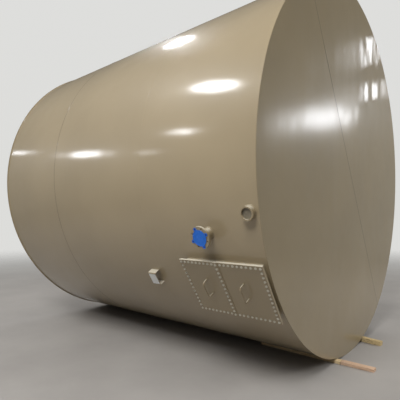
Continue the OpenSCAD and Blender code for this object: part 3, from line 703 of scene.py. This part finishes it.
# %% Fillets round the nozzle and the coupling
NOZZLE_RISE, NECK_R, NOZZLE_FLANGE_T, HUB_LEN = 0.150, 0.05715, 0.0239, 0.0094
COUPLING_RISE, COUPLING_R, HUB_LEG = 0.060, 0.066, 0.0045
NECK_ROUND, COUPLING_ROUND, HATCH_ROUND = 0.36, 0.41, 0.69
nozzle = on_shell(along_of("nozzle_flange"), turn_of("nozzle_flange"))
coupling = on_shell(along_of("coupling_plug"), turn_of("coupling_plug"))

feet = Piece()
add_bead(feet, foot_path(nozzle, NECK_R, saddle), NECK_ROUND, 0.009, 0.009, closed=True, seed=11)
add_bead(feet, foot_path(coupling, COUPLING_R, saddle), COUPLING_ROUND, 0.008, 0.008,
         closed=True, seed=12)
hub_path = foot_path(nozzle, NECK_R, level(NOZZLE_RISE - NOZZLE_FLANGE_T - HUB_LEN - HUB_LEG))
add_bead(feet, hub_path, NECK_ROUND, HUB_LEG, HUB_LEG, CAP, pitch=0.005, closed=True, seed=13)
feet.build("pipe_welds", fitting_paint, 60)
print("nozzle", [round(v, 4) for v in nozzle.to_translation()])

# %% Fillets on the roof
VENT_RISE, VENT_R, VENT_BORE_R = 0.050, 0.066, 0.054
vent = on_roof(out_of("roof_vent_coupling"), turn_of("roof_vent_coupling"))
roof_feet = Piece()
for path, length, leg, seed in (
        (foot_path(hatch, HATCH_NECK_R, slope), HATCH_ROUND, 0.007, 14),
        (foot_path(vent, VENT_R, slope), COUPLING_ROUND, 0.006, 15),
        (foot_path(hatch, HATCH_NECK_R, level(HATCH_RISE), -1), HATCH_ROUND, 0.006, 16)):
    add_bead(roof_feet, path, length, leg, leg, closed=True, seed=seed)
roof_feet.build("roof_fitting_welds", fitting_paint, 60)
print("roof fillets", len(roof_feet.faces), "faces")

# %% [markdown]
# ## Welds round the cleanout
# The neck's plates meet the shell along two straight lines and two arcs, and meet the flange's back
# along four straight lines. The fillets sit in those corners.
# A path is drawn flat, from corner to corner, and where it lies on the shell each of its points is
# dropped to the saddle line.

# %% Cleanout welds
OVERHANG = 0.044
NECK_X0, NECK_X1 = CLEANOUT_X0 + OVERHANG, CLEANOUT_X1 - OVERHANG
NECK_HALF = ROW_Y + BOLT_EDGE - OVERHANG
FLANGE_BACK = FLANGE_FACE - FLANGE_T
SHELL_LEG, FLANGE_LEG = 0.007, 0.005

def cleanout_path(p, q, out, up=(0, 0, 1), on_plate=True):
    p, q, out, up = Vector(p), Vector(q), Vector(out), Vector(up)
    turn = cleanout.to_3x3()
    def at(t):
        point = p.lerp(q, t)
        if on_plate:
            point.z = saddle(point.y)
        return cleanout @ point, turn @ up, turn @ out
    return at

neck_welds = Piece()
corners = [(NECK_X0, -NECK_HALF), (NECK_X1, -NECK_HALF), (NECK_X1, NECK_HALF), (NECK_X0, NECK_HALF)]
outs = [(0, -1, 0), (1, 0, 0), (0, 1, 0), (-1, 0, 0)]
for k, out in enumerate(outs):
    (xa, ya), (xb, yb) = corners[k], corners[(k + 1) % 4]
    length = math.hypot(xb - xa, yb - ya)
    add_bead(neck_welds, cleanout_path((xa, ya, 0), (xb, yb, 0), out), length, SHELL_LEG, SHELL_LEG,
             seed=20 + k)
    at_flange = cleanout_path((xa, ya, FLANGE_BACK), (xb, yb, FLANGE_BACK), out, (0, 0, -1), False)
    add_bead(neck_welds, at_flange, length, FLANGE_LEG, FLANGE_LEG, seed=30 + k)
neck_welds.build("cleanout_neck_welds", fitting_paint, 60)
print("cleanout neck", round(NECK_X1 - NECK_X0, 4), "by", round(2 * NECK_HALF, 4))

# %% [markdown]
# ## Small welds
# Each cover has a handle bent from round bar, welded at its two feet, and the nameplate's bracket is
# welded to the shell along both sides. The beads are small, so their ripples are closer together.

# %% Handle and bracket welds
HANDLE_R, HANDLE_SPAN, HANDLE_UP, HANDLE_ROUND = 0.008, 0.190, 0.024, 0.05
LEFT_HANDLE_OFF, RIGHT_HANDLE_OFF = 0.039, -0.014
BRACKET_LEN, BRACKET_W, BRACKET_RISE, BRACKET_GAP = 0.124, 0.178, 0.074, 0.002
SMALL_LEG, SMALL_PITCH = 0.005, 0.004
middle_x = CLEANOUT_X0 + BOLT_EDGE + (BOLTS_LEFT - 1) * PITCH
left_x = (CLEANOUT_X0 + middle_x) / 2 + LEFT_HANDLE_OFF
right_x = (middle_x + CLEANOUT_X1) / 2 + RIGHT_HANDLE_OFF
small_welds = Piece()
for x in (left_x, right_x):
    for side in (-1, 1):
        y = HANDLE_UP + side * HANDLE_SPAN / 2
        foot = cleanout @ Matrix.Translation((x, y, FLANGE_FACE + COVER_T))
        add_bead(small_welds, foot_path(foot, HANDLE_R, level(0)), HANDLE_ROUND, SMALL_LEG, SMALL_LEG,
                 pitch=SMALL_PITCH, closed=True, seed=x)

bracket_x1 = girth_1_x - BOTTOM_X - CAP_W / 2 - BRACKET_GAP
bracket = on_shell(0, turn_of("nameplate"))
for side in (-1, 1):
    y = side * BRACKET_W / 2
    a, b = (bracket @ Vector((x, y, saddle(y))) for x in (bracket_x1, bracket_x1 - BRACKET_LEN))
    up, out = (bracket.to_3x3() @ Vector(v) for v in ((0, 0, 1), (0, side, 0)))
    add_bead(small_welds, line_path(a, b, up, out), BRACKET_LEN, SMALL_LEG, SMALL_LEG,
             pitch=SMALL_PITCH, seed=40 + side)
small_welds.build("handle_and_bracket_welds", fitting_paint, 60)
print("small welds", len(small_welds.faces), "faces")

# %% [markdown]
# ## The nozzle's cap
# A moulded cap covers the nozzle for transport. It has four ears that sit over every second bolt hole,
# a raised rim round its outline and round each eyelet, and a shallow ring in the middle.
# Booleans could cut the eyelets, but they leave ragged faces. A flat curve with holes in it, filled and
# given thickness, makes the same level clean, and its small bevel rounds the moulded edge.

# %% Cap outlines
CAP_R, EAR_R, EAR_OUT, EYE_R = 0.0815, 0.0165, 0.09525, 0.0095
FIRST_EAR, EAR_STEPS, ARC_STEPS = 22.5, 14, 12

def ear_angle(k):
    return math.radians(FIRST_EAR + 90 * k)

def cap_outline(inset):
    r, h = CAP_R - inset, EAR_R - inset
    lean = math.asin(h / r)
    points = []
    for k in range(4):
        ear = ear_angle(k)
        c, s = math.cos(ear), math.sin(ear)
        for i in range(EAR_STEPS + 1):
            a = math.pi * i / EAR_STEPS
            x, y = EAR_OUT + h * math.sin(a), -h * math.cos(a)
            points.append((x * c - y * s, x * s + y * c))
        start, end = ear + lean, ear + math.pi / 2 - lean
        for i in range(ARC_STEPS + 1):
            a = start + (end - start) * i / ARC_STEPS
            points.append((r * math.cos(a), r * math.sin(a)))
    return points

def eyelet(k, r):
    x, y = EAR_OUT * math.cos(ear_angle(k)), EAR_OUT * math.sin(ear_angle(k))
    return [(x + px, y + py) for px, py, _ in circle(r, 0, 28)]
print("cap outline", len(cap_outline(0.0)), "points")

# %% Levels of the cap
CAP_BASE, LEVEL_Z, CAP_T = 0.0030, 0.0026, 0.005
RIM_W, EYELET_W, RING_OUT, RING_IN = 0.0028, 0.0024, 0.0500, 0.0465
PEG_LOW, PEG_TOP, RING_TOP, EYELET_DOWN = 0.0004, 0.0018, 0.0042, 0.0003
SOFT_EDGE, FINE_EDGE, LOOSE = 0.0004, 0.0003, 0.0002
cap_place = nozzle @ lift(NOZZLE_RISE)

def cap_level(name, outlines, z0, z1, material=cap_plastic, edge=FINE_EDGE):
    curve = bpy.data.curves.new(name, "CURVE")
    curve.dimensions, curve.fill_mode = "2D", "BOTH"
    curve.extrude = (z1 - z0) / 2 - edge
    curve.bevel_depth, curve.bevel_resolution, curve.offset = edge, 1, -edge
    for points in outlines:
        spline = curve.splines.new("POLY")
        spline.points.add(len(points) - 1)
        for point, (x, y) in zip(spline.points, points):
            point.co = (x, y, 0, 1)
        spline.use_cyclic_u = True
    curve.materials.append(material)
    obj = add_object(name, curve)
    obj.matrix_world = cap_place @ lift((z0 + z1) / 2)
    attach(obj, "root")
    return obj

body = cap_level("cap_body", [cap_outline(0.0)] + [eyelet(k, EYE_R) for k in range(4)], 0, CAP_BASE,
                 edge=SOFT_EDGE)
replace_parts(body, "nozzle_cap")
cap_level("cap_rim", [cap_outline(0.0), cap_outline(RIM_W)], LEVEL_Z, CAP_T, edge=SOFT_EDGE)
for k in range(4):
    walls = [eyelet(k, EYE_R + EYELET_W), eyelet(k, EYE_R)]
    cap_level(f"cap_eyelet_{k + 1}", walls, LEVEL_Z, CAP_T - EYELET_DOWN)
# The pegs sit deep in the eyelets, and their darker blue is painted shade.
for k in range(4):
    cap_level(f"cap_peg_{k + 1}", [eyelet(k, EYE_R - LOOSE)], PEG_LOW, PEG_TOP, peg_shade_plastic)
ring_outlines = [[(x, y) for x, y, _ in circle(r, 0, 64)] for r in (RING_OUT, RING_IN)]
cap_level("cap_ring", ring_outlines, LEVEL_Z, RING_TOP)
print("cap levels", 3 + 2 * 4)

# %% [markdown]
# ## The plug in the coupling
# A moulded plug closes the coupling a little below its mouth. It is round all over, so it is one loft
# of circles: up its side, over its lip, and into its shallow dish to the mould's mark.
# A Screw modifier could turn the same profile, but the loft needs nothing applied afterwards.

# %% Plug
PLUG_DEPTH, PLUG_T, BORE_R = 0.016, 0.016, 0.054
PLUG_TOP = COUPLING_RISE - PLUG_DEPTH
plug_r = BORE_R - LOOSE
PROFILE = ((plug_r - 0.001, PLUG_T), (plug_r, PLUG_T - 0.001), (plug_r, 0.0012), (plug_r - 0.0012, 0),
           (0.0500, 0), (0.0490, 0.0012), (0.0480, 0.0028), (0.0300, 0.0034), (0.0060, 0.0036),
           (0.0048, 0.0030))
plug = Piece()
plug.loft([circle(r, PLUG_TOP - down, 48) for r, down in PROFILE], coupling)
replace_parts(plug.build("plug", plug_plastic), "coupling_plug")
print("plug", round(2 * plug_r, 4), "across")

# %% [markdown]
# ## Threads
# A coupling has a thread in its mouth. A real thread is one long helix, but in so small a mouth it
# can't be told from rings set side by side, and rings close up cleanly.

# %% Threads
THREAD_PITCH, CREST, ROOT, BACK = 0.0032, 0.0009, 0.0001, 0.0004
VENT_FROM, PLUG_GAP, MOUTH_GAP = 0.006, 0.0005, 0.0015

def add_thread(piece, place, r, z0, z1):
    steps = max(2, round((z1 - z0) / THREAD_PITCH * 2))
    rings = [circle(r + BACK, z0, 64)]
    for j in range(steps + 1):
        rings.append(circle(r - (CREST if j % 2 else ROOT), z0 + (z1 - z0) * j / steps, 64))
    rings.append(circle(r + BACK, z1, 64))
    piece.loft(rings, place, caps=False, closed=True)

threads = Piece()
add_thread(threads, coupling, BORE_R, PLUG_TOP + PLUG_GAP, COUPLING_RISE - MOUTH_GAP)
add_thread(threads, vent, VENT_BORE_R, VENT_FROM, VENT_RISE - MOUTH_GAP)
threads.build("threads", fitting_paint, 20)
print("threads", len(threads.faces), "faces")

# %% [markdown]
# ## The nameplate's rivets
# A blank aluminium plate is riveted to a bracket of bent steel. Four small dome rivets hold it.
# A squashed sphere would hide half its faces in the plate, so each dome is a loft of a few circles
# that grow smaller on the way up.

# %% Rivets
RIVET_R, RIVET_H, PLATE_T, PLATE_MARGIN = 0.0024, 0.0015, 0.0012, 0.032
RIVET_EDGE_W, RIVET_EDGE_L, DOME = 0.007, 0.014, (0, 0.35, 0.7, 1.05, 1.35)
half_w, half_l = (BRACKET_W - PLATE_MARGIN) / 2 - RIVET_EDGE_W, BRACKET_LEN / 2 - RIVET_EDGE_L
dome = [circle(RIVET_R * math.cos(a), RIVET_H * math.sin(a), 16) for a in DOME]
plate_mid = bracket @ Matrix.Translation((bracket_x1 - BRACKET_LEN / 2, 0, BRACKET_RISE + PLATE_T))
rivets = Piece()
for sx in (-1, 1):
    for sy in (-1, 1):
        rivets.loft(dome, plate_mid @ Matrix.Translation((sx * half_l, sy * half_w, 0)))
rivets.build("nameplate_rivets", zinc, 60)
print("rivets", 4)

# %% [markdown]
# ## Timbers
# The boards are rough sawn, with small round corners, and one corner is worn where the bark was.
# A Displace modifier could roughen the exact board, but it would also push it out through the tank.
# So each board is a loft: a ring of points round the section, repeated along the length, and noise
# only ever pulls the surface in, by a millimetre or two.

# %% Section of a board
CORNER_R, PULL, COARSE, FINE, WANE = 0.0022, 0.0009, 0.0006, 0.0003, 0.02

def board_section(w, h):
    section, r = [], CORNER_R
    signs = ((1, 1), (-1, 1), (-1, -1), (1, -1))
    for k, (sx, sz) in enumerate(signs):
        for j in range(4):
            a = math.radians(90 * k + 30 * j)
            section.append((sx * (w - r) + r * math.cos(a), sz * (h - r) + r * math.sin(a)))
        nx, nz = signs[(k + 1) % 4]
        p = Vector(section[-1])
        end_y = nx * (w - r) + (r * nx if nx == sx else 0)
        end_z = nz * (h - r) + (r * nz if nz == sz else 0)
        q, steps = Vector((end_y, end_z)), 9 if nx != sx else 4
        section += [tuple(p.lerp(q, t / steps)) for t in range(1, steps)]
    return section

def pulled_in(y, z, w, h, run, seed, wane_side):
    coarse = noise.noise(Vector((run * 9 + seed, y * 40, z * 40)))
    fine = noise.noise(Vector((run * 60 + seed, y * 160, z * 160)))
    wane = max(0, noise.noise(Vector((run * 2.2 + seed * 3, 0, 0))) - 0.05) * WANE
    corner = max(0, y * wane_side / w + z / h - 1.55) / 0.45
    return PULL + COARSE * coarse + FINE * fine + wane * corner
print("points round a board", len(board_section(0.045, 0.02)))

# %% [markdown]
# ## Laying the boards
# Each board's place, turn and size come from its exact solid: the two shortest ways from one corner
# of its outline to the others are its width and its length.
# The ends are cut a little out of true, as a hand saw leaves them.

# %% Boards
END_CUT, STATION = 0.0016, 0.008

def lie_of(node):
    verts = [v.co for v in frame["nodes"][node].data.vertices]
    mid = sum(verts, Vector()) / len(verts)
    corners = sorted({(round(v.x, 5), round(v.y, 5)) for v in verts})
    a = Vector(corners[0])
    near, far, _ = sorted((Vector(c) for c in corners[1:]), key=lambda c: (c - a).length)
    return mid.xy, (far - a).normalized(), (far - a).length, (near - a).length

def board(name, node, material, seed, wane_side=1):
    mid, along, length, width = lie_of(node)
    across = Vector((-along.y, along.x))
    low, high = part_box(node)
    w, h = width / 2, (high.z - low.z) / 2
    section = board_section(w, h)
    rings, stations = [], max(24, round(length / STATION))
    for i in range(stations + 1):
        t = i / stations
        ring = []
        for y, z in section:
            pull = pulled_in(y, z, w, h, t * length, seed, wane_side)
            scale = 1 - pull / max(abs(y) if abs(y) / w > abs(z) / h else abs(z), 0.001)
            end = END_CUT * (noise.noise(Vector((y * 30, z * 30, seed + (9 if t > 0.5 else 0)))) + 1.0)
            flat = mid + along * ((t - 0.5) * (length - 2 * end)) + across * (y * scale)
            ring.append((flat.x, flat.y, low.z + h + (z * scale if z > -h * 0.9 else z)))
        rings.append(ring)
    piece = Piece()
    piece.loft(rings)
    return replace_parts(piece.build(name, material, 40), node)

board("front_board", "front_timber", fresh_wood, 1.7, -1)
board("offcut_board", "front_offcut", pink_wood, 5.1, 1)
board("back_board", "back_timber", old_wood, 9.3, 1)
print("front board", round(lie_of("front_timber")[2], 3), "m long")

# %% [markdown]
# ## The floor
# The tank needs a floor to stand on and to take its shadow. A plain plane would end at a hard horizon.
# So the floor fades: the distance from the centre drives a mix towards a transparent shader,
# and far out only the pale background is left.

# %% Floor
FLOOR_HALF, FADE_FROM, FADE_BY = 60.0, 5.0, 20.0

def floor_material():
    mat, tree, shader, coord = start_material("floor", rough=0.6)
    clouds = add_noise(tree, coord, 0.5, 6.0, rough=0.6)
    colour = add_ramp(tree, clouds, [(0.3, (0.31, 0.292, 0.273)), (0.7, (0.39, 0.368, 0.344))])
    tree.links.new(colour, shader.inputs["Base Color"])
    grain = add_bump(tree, add_noise(tree, coord, 60.0, 3.0), 0.0006, 0.4)
    tree.links.new(grain, shader.inputs["Normal"])
    reach = tree.nodes.new("ShaderNodeVectorMath")
    reach.operation = "LENGTH"
    tree.links.new(coord, reach.inputs[0])
    fade = add_range(tree, reach.outputs["Value"], 0.0, 1.0, FADE_FROM, FADE_BY, smooth=True)
    clear, blend = tree.nodes.new("ShaderNodeBsdfTransparent"), tree.nodes.new("ShaderNodeMixShader")
    tree.links.new(fade, blend.inputs["Fac"])
    tree.links.new(shader.outputs[0], blend.inputs[1])
    tree.links.new(clear.outputs[0], blend.inputs[2])
    tree.links.new(blend.outputs[0], tree.nodes["Material Output"].inputs["Surface"])
    return mat

mesh = bpy.data.meshes.new("floor")
mesh.from_pydata([(x * FLOOR_HALF, y * FLOOR_HALF, 0) for x, y in ((-1, -1), (1, -1), (1, 1), (-1, 1))],
                 [], [(0, 1, 2, 3)])
mesh.materials.append(floor_material())
floor = add_object("floor", mesh)
print("floor fades from", FADE_FROM, "to", FADE_BY, "m")

# %% [markdown]
# ## The air
# The world does three jobs, and one setting can't suit them all: it lights the tank softly, it is
# what the gloss paint mirrors, and it is the background that the camera sees.
# Light Path tells which kind of ray asks, so each kind gets its own air, from below (0) to above (1).

# %% World
world = bpy.data.worlds.new("world")
bpy.context.scene.world = world
world.use_nodes = True
tree = world.node_tree
tree.nodes.clear()
coord = tree.nodes.new("ShaderNodeTexCoord")
height = add_axis(tree, coord.outputs["Generated"], "Z")
rays = tree.nodes.new("ShaderNodeLightPath")

def air_of(stops):
    node = tree.nodes.new("ShaderNodeBackground")
    tree.links.new(add_ramp(tree, height, stops), node.inputs["Color"])
    return node.outputs[0]

def choose(ray, usual, special):
    node = tree.nodes.new("ShaderNodeMixShader")
    tree.links.new(rays.outputs[ray], node.inputs["Fac"])
    tree.links.new(usual, node.inputs[1])
    tree.links.new(special, node.inputs[2])
    return node.outputs[0]

light = air_of([(0.0, grey(0.12)), (0.35, grey(0.18)), (1.0, grey(0.46))])
mirrored = air_of([(0.0, (0.25, 0.25, 0.24)), (0.22, (0.22, 0.22, 0.21)), (0.34, (0.09, 0.09, 0.085)),
                   (1.0, (0.16, 0.16, 0.15))])
seen = air_of([(0.0, (0.72, 0.72, 0.70)), (1.0, (0.74, 0.74, 0.73))])
out = tree.nodes.new("ShaderNodeOutputWorld")
air = choose("Is Camera Ray", choose("Is Glossy Ray", light, mirrored), seen)
tree.links.new(air, out.inputs["Surface"])
print("airs for light, mirror and camera ready")

# %% [markdown]
# ## Lamps that give the light
# Four broad lamps light the tank from its four sides, the one near the camera the most.
# Larger lamps give softer shadows. They are hidden from glossy rays, and leave no squares in
# the paint.

# %% Lamps
def add_lamp(name, place, target, size, power):
    data = bpy.data.lights.new(name, "AREA")
    data.shape, data.size, data.energy = "SQUARE", size, power
    lamp = add_object(name, data)
    aim = (Vector(target) - Vector(place)).to_track_quat("-Z", "Y")
    lamp.matrix_world = Matrix.Translation(place) @ aim.to_matrix().to_4x4()
    lamp.visible_glossy = False
    return lamp

middle = Vector((BOTTOM_X - 2.0, AXIS_Y, AXIS_Z))
add_lamp("key", middle + Vector((2.5, -8.1, 6.6)), middle, 4.0, 840)
add_lamp("bottom_side", middle + Vector((10.0, 5.0, 3.2)), middle, 4.0, 520)
add_lamp("roof_side", middle + Vector((-9.5, -3.0, 6.0)), middle, 5.0, 300)
add_lamp("back_side", middle + Vector((-1.0, 8.5, 7.0)), middle, 6.0, 420)
print("lamps that give the light", 4)

# %% [markdown]
# ## Lamps that show in the paint
# Gloss paint mirrors each lamp as a bright oval. Trial would find its place slowly, and the mirror
# rule gives it at once: from the oval's spot on the plate, along the line of sight as the plate's
# normal reflects it.

# %% Lamps seen in the paint
COOL = (0.94, 0.96, 1.0)

def mirror_lamp(name, point, normal, distance, wide, high, power):
    sight = (eye - point).normalized()
    away = (2 * normal.dot(sight) * normal - sight).normalized()
    lamp = add_lamp(name, point + away * distance, point, wide, power)
    lamp.data.shape, lamp.data.size_y = "ELLIPSE", high
    lamp.data.color = COOL
    lamp.visible_glossy = True

def shell_lamp(name, x, turn, distance, wide, high, power):
    here = on_shell(x, turn)
    normal = here.to_3x3() @ Vector((0, 0, 1))
    mirror_lamp(name, here.to_translation(), normal, distance, wide, high, power)

def disc_lamp(name, y, z, distance, wide, high, power):
    point = Vector((BOTTOM_X, AXIS_Y + y, AXIS_Z + z))
    mirror_lamp(name, point, Vector((1, 0, 0)), distance, wide, high, power)

shell_lamp("ceiling_1", -1.456, 138.8, 6.5, 0.80, 0.80, 55)
shell_lamp("ceiling_2", -0.526, 163.0, 7.5, 1.70, 0.90, 110)
shell_lamp("ceiling_3", -0.885, 172.7, 9.0, 0.80, 0.45, 24)
shell_lamp("ceiling_4", -2.555, 173.7, 10.0, 1.30, 0.60, 40)
shell_lamp("ceiling_5", -4.560, 167.5, 10.0, 0.80, 0.35, 6)
shell_lamp("ceiling_6", -1.387, 176.3, 10.0, 0.60, 0.35, 4)
disc_lamp("far_lamp_1", -1.200, 0.50, 7.0, 1.70, 0.50, 24)
disc_lamp("far_lamp_2", 0.775, 1.89, 9.0, 0.30, 0.95, 7)
disc_lamp("far_lamp_3", 1.050, 1.38, 9.0, 0.28, 0.62, 4.2)

# %% [markdown]
# ## Finish
# The view transform is Standard, so a colour shows as it was written.

# %% Finish
bpy.context.scene.view_settings.view_transform = "Standard"
